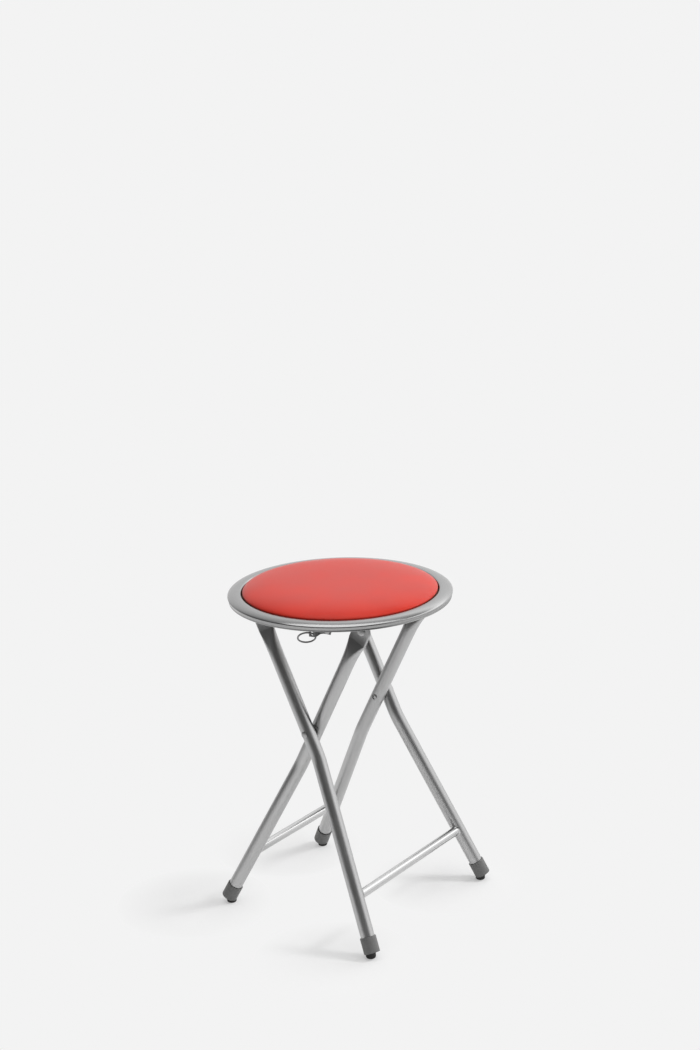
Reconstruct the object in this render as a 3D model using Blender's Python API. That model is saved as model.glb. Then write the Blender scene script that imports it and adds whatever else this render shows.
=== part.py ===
"""Round folding stool: a padded seat on two crossed tube frames, with a pull-ring catch under the seat.

X runs across the scissor (the inner frame's feet are at -X), Y along the fold axes, Z up.
The origin is on the floor under the middle of the seat. All sizes are in metres.
"""
import math

import bpy
import bmesh
from mathutils import Matrix, Vector

# Clearances
GAP = 0.0003            # between pieces that rest on each other
HOLE_CLEAR = 0.0003     # round a pin, rivet or rod, on the radius
SWING_CLEAR = 0.0008    # between a leg's flat end and the rim as the seat swings

# Seat
SEAT_R = 0.1525         # outside of the rim
RIM_Z = 0.4424          # underside of the rim above the floor
RIM_W = 0.0191          # rim, seat edge to its inner wall
RIM_H = 0.0108          # rim, underside to crest
RIM_EDGE_H = 0.0064     # widest line of the rim, above the underside
RIM_STEP = 0.0014       # how far the skirt stands back under that line
RIM_SKIRT_H = 0.0020    # upright foot of the skirt
RIM_SHEET = 0.0010      # steel of the pressed rim
LEDGE_W = 0.0074        # inward ledge that carries the board
LEDGE_RISE = 0.0015     # ledge top above the rim's underside
BOARD_T = 0.0060
PAD_MARGIN = 0.0016     # dark gap between the pad and the rim
PAD_TUCK = 0.0030       # how far the pad's side draws in at its foot
PAD_SIDE_H = 0.0026     # height at which the pad is widest
PAD_CROWN = 0.0155      # pad's middle above its foot
PAD_FULLNESS = 4.5      # a higher figure makes the crown flatter in the middle
PAD_SHOULDER = 0.70     # a lower figure makes the shoulder squarer

# Tube frames
TUBE_R = 0.0095
TUBE_WALL = 0.0012
FLAT_T = 0.0034         # thickness of a pressed-flat tube end
FLAT_BELOW = 0.0165     # flat length under the hole
PRESS_L = 0.0480        # length over which the tube runs from round to flat
PRESS_STEEP = 2.6       # a higher figure puts more of the press next to the flat
HINGE_SHARE = 0.5583    # seat hinge from the middle, as a share of the seat's radius
ROD_SHARE = 0.4135      # top rod from the middle, on the other side
TUBE_SHARE = 0.4682     # inner tubes' middle from the middle, each side
PIVOT_X = 0.0081
PIVOT_Z = 0.2771
WASHER_T = 0.0016       # pivot washer between the frames
WASHER_R = 0.0080
KNEE_INNER = 0.0580     # knee below the pivot, straight down
KNEE_OUTER = 0.0337
BEND_R = 0.1200
FOOT_INNER_Y = 0.1097   # end of a leg, from the middle
FOOT_OUTER_Y = 0.1387
STRETCHER_R = 0.00635
STRETCHER_INNER_Z = 0.0797
STRETCHER_OUTER_Z = 0.0750

# Feet
CAP_WALL = 0.0011
CAP_L = 0.0220
CAP_END_T = 0.0030
CAP_END_Z = 0.0081      # middle of the cap's end above the floor
CAP_FILLET = 0.0009
GLIDE_R = 0.0068
GLIDE_FLAT_R = 0.0042
GLIDE_OFF = 0.0041      # from the cap's middle towards its low side

# Rivets, rod and under-seat sheet parts
PIVOT_RIVET_R = 0.0036
PIVOT_HEAD_R = 0.0046
PIVOT_HEAD_H = 0.0008   # set low in the tube
HINGE_RIVET_R = 0.0032
HINGE_HEAD_R = 0.0062
HEAD_H = 0.0015
HEAD_DIMPLE = 0.78      # hollow of a clinched rivet end, as a share of the rivet
HEAD_DIMPLE_DEEP = 0.0045
ROD_R = 0.0040
ROD_HEAD_R = 0.0064
SHEET_T = 0.0020
EAR_R = 0.0090          # round foot of a hinge ear
EAR_W = 0.0280          # hinge ear where it meets its flange
EAR_LAP = 0.25          # outer corner of a bracket's bend, as a share of its sheet
FLANGE_L = 0.0200
SCREW_R = 0.0016
SCREW_HEAD_R = 0.0036
SCREW_HEAD_H = 0.0018
SCREW_BITE = 0.0040     # thread in the board
STOP_IN = 0.0154        # stop's middle, inwards from the inner tube's middle
STOP_W = 0.0160
STOP_DROP = 0.0060      # stop wall below the rod's middle
STOP_STEP = 0.0110      # saddle, from the rod's middle to the step up
STOP_FLANGE_L = 0.0210

# Catch
CATCH_SHARE = 0.3764    # shaft from the middle, as a share of the seat's radius
CATCH_DROP = 0.0074     # shaft's middle below the under-seat flanges
CATCH_LEDGE_GAP = 0.0037  # near ear, inwards from the rim's ledge
CATCH_SPAN = 0.0920     # near ear to far ear
CATCH_SHAFT_R = 0.0025
CATCH_EAR_R = 0.0050
CATCH_EAR_W = 0.0084
CATCH_SHEET = 0.0015
CATCH_FLANGE_L = 0.0130
CATCH_HEAD_R = 0.0041
LEVER_H_DOWN = 0.0042   # lever's lower edge at the shaft
LEVER_H_UP = 0.0034
LEVER_REACH = 0.0234    # shaft to the lip's free end, along X
LEVER_LIP_W = 0.0100
LEVER_LIP_OUT = 0.0083  # lip stands out from the arm's root
LEVER_LIP_DROP = 0.0088  # lip's lower edge below the shaft
RING_R = 0.0116         # to the wire's middle
RING_WIRE_R = 0.0011
RING_HOLE_R = 0.0026
RING_SLANT = math.radians(38.0)
RING_TURN = math.radians(37.0)
HOOK_T = 0.0026
HOOK_H = 0.0060
HOOK_BOSS_R = 0.0054
HOOK_GAP = 0.0010       # hook nose to the rod's way out
HOOK_NOSE = 0.0050
FOLD_RATIO = 2.5        # seat turn for each turn of the outer frame

# Facets
TUBE_SIDES = 18
SEAT_SIDES = 64
SMALL_SIDES = 14

# Levels and fits that follow from the sizes above
RIM_IN = SEAT_R - RIM_W
LEDGE_IN = RIM_IN - LEDGE_W
BOARD_Z = RIM_Z + LEDGE_RISE + GAP
PAD_Z = BOARD_Z + BOARD_T + GAP
FLANGE_TOP = BOARD_Z - GAP
FLANGE_BOT = FLANGE_TOP - SHEET_T
TUBE_MEAN_GIRTH = 2 * math.pi * (TUBE_R - TUBE_WALL / 2)
FLAT_W = (TUBE_MEAN_GIRTH - math.pi * (FLAT_T - TUBE_WALL)) / 2 + FLAT_T
TOP_Z = RIM_Z - FLAT_W / 2 - SWING_CLEAR
INNER_Y = SEAT_R * TUBE_SHARE
OUTER_Y = INNER_Y + 2 * TUBE_R + WASHER_T + 2 * GAP
STOP_Y = INNER_Y - STOP_IN
CAP_R = TUBE_R + GAP + CAP_WALL
PIVOT = Vector((PIVOT_X, 0, PIVOT_Z))
HINGE = Vector((SEAT_R * HINGE_SHARE, 0, TOP_Z))
ROD = Vector((-SEAT_R * ROD_SHARE, 0, TOP_Z))
LEAN_INNER = math.atan2(HINGE.x - PIVOT_X, TOP_Z - PIVOT_Z)
LEAN_OUTER = math.atan2(PIVOT_X - ROD.x, TOP_Z - PIVOT_Z)
CATCH_X = SEAT_R * CATCH_SHARE
CATCH_Z = FLANGE_BOT - CATCH_DROP
CATCH_NEAR_Y = -math.sqrt((LEDGE_IN - CATCH_LEDGE_GAP) ** 2 - CATCH_X ** 2)
CATCH_FAR_Y = CATCH_NEAR_Y + CATCH_SPAN
SHAFT = Vector((CATCH_X, 0, CATCH_Z))
LEVER_Y = CATCH_NEAR_Y - GAP - CATCH_SHEET / 2
LIP_Y = LEVER_Y - LEVER_LIP_OUT
RING_EYE = Vector((CATCH_X - LEVER_REACH + LEVER_LIP_W * 0.48, LIP_Y, CATCH_Z - LEVER_LIP_DROP * 0.46))

for stale in list(bpy.data.objects):
    bpy.data.objects.remove(stale, do_unlink=True)


def paint(name, rgb, rough, metal):
    """A plain Principled material."""
    mat = bpy.data.materials.new(name)
    mat.use_nodes = True
    shader = mat.node_tree.nodes["Principled BSDF"]
    shader.inputs["Base Color"].default_value = (*rgb, 1)
    shader.inputs["Roughness"].default_value = rough
    shader.inputs["Metallic"].default_value = metal
    mat.diffuse_color = (*rgb, 1)
    return mat


SILVER = paint("silver_paint", (0.42, 0.42, 0.41), 0.32, 0.85)
ZINC = paint("zinc_steel", (0.50, 0.50, 0.48), 0.38, 0.90)
RED = paint("red_leatherette", (0.56, 0.025, 0.02), 0.42, 0.0)
PLY = paint("plywood", (0.45, 0.29, 0.16), 0.70, 0.0)
GREY = paint("grey_plastic", (0.13, 0.13, 0.13), 0.48, 0.0)
BLACK = paint("black_rubber", (0.012, 0.011, 0.011), 0.60, 0.0)

PLACES = {}


def carrier(name, place, parent=None):
    """An empty on a joint's axis, which the moving pieces hang on."""
    empty = bpy.data.objects.new(name, None)
    empty.empty_display_size = 2 * TUBE_R
    empty.parent = parent
    empty.location = place - (PLACES[parent.name] if parent else Vector())
    PLACES[name] = place.copy()
    bpy.context.collection.objects.link(empty)
    return empty


INNER = carrier("inner_frame", Vector())
OUTER = carrier("outer_frame", PIVOT, INNER)
SEAT = carrier("seat", HINGE, INNER)
CATCH = carrier("catch", SHAFT, SEAT)
RING = carrier("ring", RING_EYE, CATCH)


def solid(name, shape, mat, on, smooth=40):
    """Make one object from (points, faces) in world places, hung on a carrier."""
    points, faces = shape
    base = PLACES[on.name]
    mesh = bpy.data.meshes.new(name)
    mesh.from_pydata([p - base for p in points], [], faces)
    work = bmesh.new()
    work.from_mesh(mesh)
    bmesh.ops.recalc_face_normals(work, faces=work.faces)
    if work.calc_volume(signed=True) < 0:
        bmesh.ops.reverse_faces(work, faces=work.faces)
    work.to_mesh(mesh)
    work.free()
    mesh.shade_smooth()
    mesh.set_sharp_from_angle(angle=math.radians(smooth))
    if mat:
        mesh.materials.append(mat)
    obj = bpy.data.objects.new(name, mesh)
    obj.parent = on
    bpy.context.collection.objects.link(obj)
    return obj


def combine(obj, shape, on, how="DIFFERENCE"):
    """Cut a shape out of an object, or join it on, with a live Boolean."""
    tool = solid(f"{obj.name}_tool_{len(obj.modifiers)}", shape, None, on)
    tool.hide_render = True
    tool.display_type = "WIRE"
    step = obj.modifiers.new(how.lower(), "BOOLEAN")
    step.operation = how
    step.solver = "EXACT"
    step.object = tool


def loft(rings):
    """Skin a row of equal rings and close both ends."""
    count = len(rings[0])
    points = [Vector(p) for ring in rings for p in ring]
    faces = []
    for k in range(len(rings) - 1):
        for i in range(count):
            j = (i + 1) % count
            faces.append((k * count + i, k * count + j, (k + 1) * count + j, (k + 1) * count + i))
    faces.append(tuple(reversed(range(count))))
    faces.append(tuple(range((len(rings) - 1) * count, len(rings) * count)))
    return points, faces


def lathe(profile, sides, place=None, closed=False):
    """Turn a profile of (radius, height) points about Z, then move it into place."""
    place = place or Matrix()
    points, rows, faces = [], [], []
    for radius, height in profile:
        if radius < 1e-7:
            rows.append([len(points)] * sides)
            points.append(place @ Vector((0, 0, height)))
            continue
        rows.append(list(range(len(points), len(points) + sides)))
        for i in range(sides):
            turn = 2 * math.pi * i / sides
            points.append(place @ Vector((radius * math.cos(turn), radius * math.sin(turn), height)))
    pairs = list(zip(rows, rows[1:] + rows[:1])) if closed else list(zip(rows, rows[1:]))
    for low, high in pairs:
        for i in range(sides):
            j = (i + 1) % sides
            corner = (low[i], low[j], high[j], high[i])
            kept = [v for n, v in enumerate(corner) if v not in corner[:n]]
            if len(kept) > 2:
                faces.append(kept)
    return points, faces


def round_bar(start, end, radius, sides=SMALL_SIDES):
    """A plain round bar between two points."""
    axis = (end - start).normalized()
    turn = axis.to_track_quat("Z", "X").to_matrix().to_4x4()
    length = (end - start).length
    line = [(0, 0), (radius, 0), (radius, length), (0, length)]
    return lathe(line, sides, Matrix.Translation(start) @ turn)


def across_y(at, profile, sides=SMALL_SIDES, sign=1):
    """Turn a profile about the Y axis through a point; heights run towards sign * Y."""
    turn = Vector((0, sign, 0)).to_track_quat("Z", "X").to_matrix().to_4x4()
    return lathe(profile, sides, Matrix.Translation(at) @ turn)


def prism(outline, place, depth):
    """Push a flat outline (x, y) along Z by depth."""
    low = [place @ Vector((x, y, 0)) for x, y in outline]
    high = [place @ Vector((x, y, depth)) for x, y in outline]
    return loft([low, high])


def bent_sheet(line, thick):
    """Thicken a bent line (x, y) to its left, with mitred corners."""
    line = [Vector(p) for p in line]
    other = []
    for k, p in enumerate(line):
        before = (p - line[k - 1]).normalized() if k else None
        after = (line[k + 1] - p).normalized() if k + 1 < len(line) else None
        if before is None or after is None:
            way = after or before
            other.append(p + Vector((-way.y, way.x)) * thick)
            continue
        left = Vector((-before.y, before.x)) + Vector((-after.y, after.x))
        left.normalize()
        other.append(p + left * (thick / left.dot(Vector((-before.y, before.x)))))
    return [tuple(p) for p in line] + [tuple(p) for p in reversed(other)]


def arc(middle, radius, start, end, steps):
    """Points on a circle, angles in degrees."""
    turns = [math.radians(start + (end - start) * k / steps) for k in range(steps + 1)]
    return [(middle[0] + radius * math.cos(t), middle[1] + radius * math.sin(t)) for t in turns]


# Seat: pressed rim, board, pad

def rim_line():
    """The rim's outside: ledge, inner wall, crest, brow, step and skirt, as (radius, height)."""
    crest = arc((RIM_IN + 0.0030, RIM_H - 0.0030), 0.0030, 180, 105, 3)
    long_r, tall = RIM_W - 0.0042, RIM_H - RIM_EDGE_H
    brow = [(SEAT_R - long_r + long_r * math.cos(t), RIM_EDGE_H + tall * math.sin(t))
            for t in (math.radians(a) for a in (84, 63, 44, 25, 0))]
    step = [(SEAT_R - RIM_STEP * (1 - math.cos(math.pi * s)) / 2, RIM_EDGE_H + (RIM_SKIRT_H - RIM_EDGE_H) * s)
            for s in (0.25, 0.5, 0.75, 1.0)]
    skirt_r = SEAT_R - RIM_STEP
    foot = arc((skirt_r - RIM_SHEET / 2, RIM_SHEET / 2), RIM_SHEET / 2, 0, -60, 2)
    return [(LEDGE_IN, LEDGE_RISE), (RIM_IN, LEDGE_RISE)] + crest + brow + step + foot


def rim_profile():
    """The rim's steel: its outside line thickened to the hollow side, which is open below."""
    line = rim_line()
    mirrored = [(r, -h) for r, h in line]
    return [(r, RIM_Z - h) for r, h in bent_sheet(mirrored, RIM_SHEET)]


def pad_profile():
    """Half section of the pad: flat foot, drawn-in side, round shoulder and crown."""
    wide = RIM_IN - PAD_MARGIN
    foot = wide - PAD_TUCK
    side = [(foot + PAD_TUCK * math.sin(t), PAD_SIDE_H * (1 - math.cos(t)))
            for t in (math.radians(a) for a in (0, 30, 60, 90))]
    rise = PAD_CROWN - PAD_SIDE_H
    crown = []
    for share in (0.996, 0.985, 0.965, 0.935, 0.89, 0.83, 0.75, 0.65, 0.52, 0.37, 0.2, 0.0):
        crown.append((wide * share, PAD_SIDE_H + rise * (1 - share ** PAD_FULLNESS) ** PAD_SHOULDER))
    return [(r, PAD_Z + h) for r, h in [(0, 0)] + side + crown]


solid("seat_rim", lathe(rim_profile(), SEAT_SIDES, closed=True), SILVER, SEAT)
board_r = RIM_IN - GAP
board = solid("seat_board", lathe([(0, BOARD_Z), (board_r, BOARD_Z), (board_r, BOARD_Z + BOARD_T - 0.001),
                                   (board_r - 0.001, BOARD_Z + BOARD_T), (0, BOARD_Z + BOARD_T)],
                                  SEAT_SIDES), PLY, SEAT)
solid("seat_pad", lathe(pad_profile(), SEAT_SIDES), RED, SEAT, 60)


def screw(name, x, y, bracket):
    """A pan-head screw up through a flange into the board, with its holes."""
    low = FLANGE_BOT - GAP
    tip = BOARD_Z + SCREW_BITE
    crown = low - SCREW_HEAD_H
    shape = lathe([(0, crown), (SCREW_HEAD_R * 0.62, crown + SCREW_HEAD_H * 0.12),
                   (SCREW_HEAD_R, crown + SCREW_HEAD_H * 0.55), (SCREW_HEAD_R, low), (SCREW_R, low),
                   (SCREW_R, tip - SCREW_R), (0, tip)], 12, Matrix.Translation((x, y, 0)))
    solid(name, shape, ZINC, SEAT)
    hole_r = SCREW_R + HOLE_CLEAR
    base = Vector((x, y, FLANGE_BOT - 2 * SCREW_HEAD_H))
    combine(bracket, round_bar(base, Vector((x, y, BOARD_Z - GAP / 2)), hole_r, 12), SEAT)
    combine(board, round_bar(Vector((x, y, BOARD_Z - GAP / 2)), Vector((x, y, tip + GAP)), hole_r, 12), SEAT)


def ear_bracket(name, at, face_y, inward, thick, ear_r, ear_w, flange, hole_r, flange_w):
    """An L-shaped bracket: an ear with a round foot about a pin, and a flange screwed to the board."""
    x, z = at
    foot = arc((0, 0), ear_r, 180, 360, 10)
    top = FLANGE_TOP - z - thick * EAR_LAP
    half = ear_w / 2
    outline = foot + [(half, top - thick * 2), (half, top), (-half, top), (-half, top - thick * 2)]
    stand = Matrix(((1, 0, 0, x), (0, 0, inward, face_y), (0, 1, 0, z), (0, 0, 0, 1)))
    obj = solid(name, prism(outline, stand, thick), ZINC, SEAT)
    near, far = face_y + inward * thick * EAR_LAP, face_y + inward * flange
    lay = Matrix.Translation((x, min(near, far), FLANGE_TOP - thick))
    half = flange_w / 2
    plate = [(-half, 0), (half, 0), (half, abs(far - near)), (-half, abs(far - near))]
    combine(obj, prism(plate, lay, thick), SEAT, "UNION")
    deep = Vector((x, face_y - inward * thick, z))
    combine(obj, round_bar(deep, deep + Vector((0, inward * thick * 3, 0)), hole_r), SEAT)
    return obj


# Legs: one bent tube each, pressed flat at the top

def stadium(half_w, half_t, count):
    """Points evenly along a flat oval with round ends, from its +w end."""
    run = half_w - half_t
    girth = 4 * run + 2 * math.pi * half_t
    out = []
    for i in range(count):
        s = girth * i / count
        quarter = math.pi * half_t / 2
        flip = 1
        if s > girth / 2:
            s, flip = girth - s, -1
        if s < quarter:
            t = s / half_t
            w, y = run + half_t * math.cos(t), half_t * math.sin(t)
        elif s < quarter + 2 * run:
            w, y = run - (s - quarter), half_t
        else:
            t = (s - quarter - 2 * run) / half_t
            w, y = -run - half_t * math.sin(t), half_t * math.cos(t)
        out.append((w, flip * y))
    return out


def leg_lines(lean, slope, side, tube_y, knee, foot_y):
    """Places and directions that a leg, its foot and its stretcher share."""
    up = Vector((slope * math.sin(lean), 0, math.cos(lean)))

    def on_axis(z, y):
        return PIVOT + up * ((z - PIVOT_Z) / math.cos(lean)) + Vector((0, y, 0))

    knee_at = on_axis(PIVOT_Z - knee, side * tube_y)
    end = on_axis(CAP_END_Z, side * foot_y)
    low_up = (knee_at - end).normalized()
    return {"up": up, "wide": Vector((math.cos(lean), 0, -slope * math.sin(lean))), "knee": knee_at,
            "end": end, "low_up": low_up, "hole": on_axis(TOP_Z, side * tube_y), "side": side}


def leg_shape(g):
    """Rings up the leg: bore, lower run, knee, upper run, pressed length and round flat end."""
    up, low_up, wide = g["up"], g["low_up"], g["wide"]
    across = Vector((0, 1, 0))
    swing = up.rotation_difference(low_up)
    low_wide, low_across = swing @ wide, swing @ across
    angle = up.angle(low_up)
    tangent = BEND_R * math.tan(angle / 2)
    axis = low_up.cross(up).normalized()
    bend_from = g["knee"] - low_up * tangent
    middle = bend_from + axis.cross(low_up) * BEND_R

    ring_of = [(math.cos(2 * math.pi * i / TUBE_SIDES), math.sin(2 * math.pi * i / TUBE_SIDES))
               for i in range(TUBE_SIDES)]
    half_w, half_t = FLAT_W / 2, FLAT_T / 2

    def ring(at, w_way, y_way, pts):
        return [at + w_way * w + y_way * y for w, y in pts]

    def tube(radius):
        return [(radius * c, radius * s) for c, s in ring_of]

    def knee_rings(radius, steps):
        rings = []
        for k in range(steps + 1):
            part = Matrix.Rotation(angle * k / steps, 3, axis)
            at = middle + part @ (bend_from - middle)
            rings.append(ring(at, part @ low_wide, part @ low_across, tube(radius)))
        return rings

    foot = g["end"] + low_up * (CAP_END_T + GAP)
    press_from = g["hole"] - up * (FLAT_BELOW + PRESS_L)
    bore_r = TUBE_R - TUBE_WALL
    outside = [ring(foot, low_wide, low_across, tube(TUBE_R))] + knee_rings(TUBE_R, 4)
    outside.append(ring(press_from, wide, across, tube(TUBE_R)))
    for share in (0.3, 0.52, 0.68, 0.8, 0.9, 1.0):
        thin = TUBE_R - (TUBE_R - half_t) * share ** PRESS_STEEP
        broad = thin + math.pi * (TUBE_R - thin) / 2
        at = press_from + up * (PRESS_L * share)
        outside.append(ring(at, wide, across, stadium(broad, thin, TUBE_SIDES)))
    for turn in (0, 22, 42, 58, 71, 80):
        t = math.radians(turn)
        at = g["hole"] + up * (half_w * math.sin(t))
        outside.append(ring(at, wide, across, stadium(half_w * math.cos(t), half_t, TUBE_SIDES)))
    inside = [ring(foot, low_wide, low_across, tube(bore_r))] + knee_rings(bore_r, 4)
    inside.append(ring(press_from, wide, across, tube(bore_r)))

    points, faces = loft(outside)
    count = TUBE_SIDES
    start = len(points)
    points += [p for rows in inside for p in rows]
    faces.remove(tuple(reversed(range(count))))
    for i in range(count):
        j = (i + 1) % count
        faces.append((j, i, start + i, start + j))
    for k in range(len(inside) - 1):
        for i in range(count):
            j = (i + 1) % count
            a, b = start + k * count, start + (k + 1) * count
            faces.append((a + j, a + i, b + i, b + j))
    last = start + (len(inside) - 1) * count
    faces.append(tuple(range(last, last + count)))
    return points, faces


def y_hole(obj, at, radius, reach, on):
    """Bore along Y through an object at a point."""
    bar = round_bar(at - Vector((0, reach, 0)), at + Vector((0, reach, 0)), radius)
    combine(obj, bar, on)


def foot_shapes(g):
    """A sleeve cap on the tube's end and a round glide under its low side."""
    low_up, end = g["low_up"], g["end"]
    turn = Matrix.Translation(end) @ low_up.to_track_quat("Z", "X").to_matrix().to_4x4()
    sleeve = TUBE_R + GAP
    cap = lathe([(0, 0), (CAP_R - CAP_FILLET, 0), (CAP_R - CAP_FILLET * 0.3, CAP_FILLET * 0.3),
                 (CAP_R, CAP_FILLET), (CAP_R, CAP_L - CAP_WALL * 0.6), (CAP_R - CAP_WALL * 0.5, CAP_L),
                 (sleeve, CAP_L), (sleeve, CAP_END_T), (0, CAP_END_T)], TUBE_SIDES, turn)
    low_way = (low_up * low_up.z - Vector((0, 0, 1))).normalized()
    under = end + low_way * GLIDE_OFF
    drop = GLIDE_R - GLIDE_FLAT_R
    side = [(GLIDE_FLAT_R + drop * math.sin(t), drop * (1 - math.cos(t)))
            for t in (math.radians(a) for a in (0, 30, 60, 90))]
    tall = CAP_END_Z + GLIDE_R
    stand = Matrix.Translation((under.x, under.y, 0))
    glide = lathe([(0, 0)] + side + [(GLIDE_R, tall), (0, tall)], TUBE_SIDES, stand)
    beyond = end - low_up * GAP
    trim = round_bar(beyond, beyond + low_up * (tall + 4 * GLIDE_R), CAP_R * 2)
    return cap, glide, trim


def frame(label, lean, slope, tube_y, knee, foot_y, bar_z, hole_r, on):
    """Two legs with their feet, and the stretcher between them."""
    sides = {}
    for word, side in (("near", -1), ("far", 1)):
        g = leg_lines(lean, slope, side, tube_y, knee, foot_y)
        leg = solid(f"{label}_leg_{word}", leg_shape(g), SILVER, on)
        y_hole(leg, PIVOT + Vector((0, side * tube_y, 0)), PIVOT_RIVET_R + HOLE_CLEAR, 2 * TUBE_R, on)
        y_hole(leg, g["hole"], hole_r + HOLE_CLEAR, 2 * TUBE_R, on)
        cap, glide, trim = foot_shapes(g)
        solid(f"{label}_cap_{word}", cap, GREY, on)
        button = solid(f"{label}_glide_{word}", glide, BLACK, on)
        combine(button, trim, on)
        sides[word] = g
    near, far = sides["near"], sides["far"]
    ends = []
    for g in (near, far):
        ends.append(g["end"] + g["low_up"] * ((bar_z - g["end"].z) / g["low_up"].z))
    bar = solid(f"{label}_stretcher", round_bar(ends[0], ends[1], STRETCHER_R), SILVER, on)
    for g, at in zip((near, far), ends):
        reach = g["low_up"] * (4 * TUBE_R)
        combine(bar, round_bar(at - reach, at + reach, TUBE_R + GAP, TUBE_SIDES * 2), on)


frame("inner", LEAN_INNER, 1, INNER_Y, KNEE_INNER, FOOT_INNER_Y, STRETCHER_INNER_Z, HINGE_RIVET_R, INNER)
frame("outer", LEAN_OUTER, -1, OUTER_Y, KNEE_OUTER, FOOT_OUTER_Y, STRETCHER_OUTER_Z, ROD_R, OUTER)


def headed_pin(length, pin_r, head_low, head_high, hollow=True, tall=HEAD_H):
    """Profile of a pin with a clinched end below and a low domed head above, from below upwards."""
    bore = pin_r * HEAD_DIMPLE
    if hollow:
        low = [(0, HEAD_DIMPLE_DEEP), (bore, HEAD_DIMPLE_DEEP), (bore, -tall * 0.6), (pin_r, -tall)]
    else:
        low = [(0, -tall), (head_low * 0.55, -tall * 0.84)]
    return low + [(head_low * 0.86, -tall * 0.5), (head_low, 0), (pin_r, 0), (pin_r, length),
                  (head_high, length), (head_high * 0.86, length + tall * 0.5),
                  (head_high * 0.55, length + tall * 0.84), (0, length + tall)]


# Pivot rivets and washers, hinge ears and rivets, top rod, rod stops
for word, side in (("near", -1), ("far", 1)):
    grip_in = INNER_Y - TUBE_R - GAP
    grip_out = OUTER_Y + TUBE_R + GAP
    pivot_in = PIVOT + Vector((0, side * grip_in, 0))
    rivet = headed_pin(grip_out - grip_in, PIVOT_RIVET_R, PIVOT_HEAD_R, PIVOT_HEAD_R, tall=PIVOT_HEAD_H)
    solid(f"pivot_rivet_{word}", across_y(pivot_in, rivet, sign=side), ZINC, INNER)
    washer_in = PIVOT + Vector((0, side * (INNER_Y + TUBE_R + GAP), 0))
    bore = PIVOT_RIVET_R + HOLE_CLEAR
    ring_cut = [(bore, 0), (WASHER_R, 0), (WASHER_R, WASHER_T), (bore, WASHER_T)]
    turn = Matrix.Translation(washer_in) @ Vector((0, side, 0)).to_track_quat("Z", "X").to_matrix().to_4x4()
    solid(f"pivot_washer_{word}", lathe(ring_cut, SMALL_SIDES, turn, closed=True), GREY, INNER)

    ear_face = side * (INNER_Y - FLAT_T / 2 - GAP)
    ear = ear_bracket(f"hinge_ear_{word}", (HINGE.x, HINGE.z), ear_face, -side, SHEET_T, EAR_R, EAR_W,
                      FLANGE_L, HINGE_RIVET_R + HOLE_CLEAR, EAR_W - SHEET_T)
    for label, shift in (("a", -1), ("b", 1)):
        screw_y = ear_face - side * FLANGE_L * 0.6
        screw(f"hinge_screw_{word}_{label}", HINGE.x + shift * EAR_W * 0.29, screw_y, ear)
    inner_face = INNER_Y - FLAT_T / 2 - SHEET_T - 2 * GAP
    outer_face = INNER_Y + FLAT_T / 2 + GAP
    start = Vector((HINGE.x, side * inner_face, HINGE.z))
    rivet = headed_pin(outer_face - inner_face, HINGE_RIVET_R, HINGE_HEAD_R * 0.85, HINGE_HEAD_R)
    solid(f"hinge_rivet_{word}", across_y(start, rivet, sign=side), ZINC, SEAT)

rod_end = OUTER_Y + FLAT_T / 2 + GAP
rod_line = headed_pin(2 * rod_end, ROD_R, ROD_HEAD_R, ROD_HEAD_R, False)
solid("top_rod", across_y(Vector((ROD.x, -rod_end, ROD.z)), rod_line), ZINC, OUTER)

wall_x = -ROD_R - GAP
saddle_z = ROD_R + GAP
for word, side in (("near", -1), ("far", 1)):
    flange_z = FLANGE_BOT - ROD.z
    line = [(wall_x, -STOP_DROP), (wall_x, saddle_z), (STOP_STEP, saddle_z), (STOP_STEP, flange_z),
            (STOP_STEP + STOP_FLANGE_L, flange_z)]
    stand = Matrix(((1, 0, 0, ROD.x), (0, 0, 1, side * STOP_Y - STOP_W / 2), (0, 1, 0, ROD.z), (0, 0, 0, 1)))
    stop = solid(f"rod_stop_{word}", prism(bent_sheet(line, SHEET_T), stand, STOP_W), ZINC, SEAT)
    for label, share in (("a", 0.3), ("b", 0.75)):
        screw(f"stop_screw_{word}_{label}", ROD.x + STOP_STEP + STOP_FLANGE_L * share, side * STOP_Y, stop)


# Catch: shaft in two ears, hook on the rod, lever with its ring by the seat's edge

for word, face_y in (("near", CATCH_NEAR_Y), ("far", CATCH_FAR_Y)):
    ear = ear_bracket(f"catch_ear_{word}", (CATCH_X, CATCH_Z), face_y, 1, CATCH_SHEET, CATCH_EAR_R,
                      CATCH_EAR_W, CATCH_FLANGE_L, CATCH_SHAFT_R + HOLE_CLEAR, CATCH_EAR_W + 2 * SHEET_T)
    screw(f"catch_screw_{word}", CATCH_X, face_y + CATCH_FLANGE_L * 0.62, ear)

hook_y = CATCH_FAR_Y + CATCH_SHEET + CATCH_FLANGE_L + GAP
shaft_low = LEVER_Y - CATCH_SHEET / 2 - GAP
shaft_high = hook_y + HOOK_T + GAP
shaft_line = headed_pin(shaft_high - shaft_low, CATCH_SHAFT_R, CATCH_HEAD_R, CATCH_HEAD_R, False)
solid("catch_shaft", across_y(Vector((CATCH_X, shaft_low, CATCH_Z)), shaft_line), ZINC, CATCH)


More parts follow.
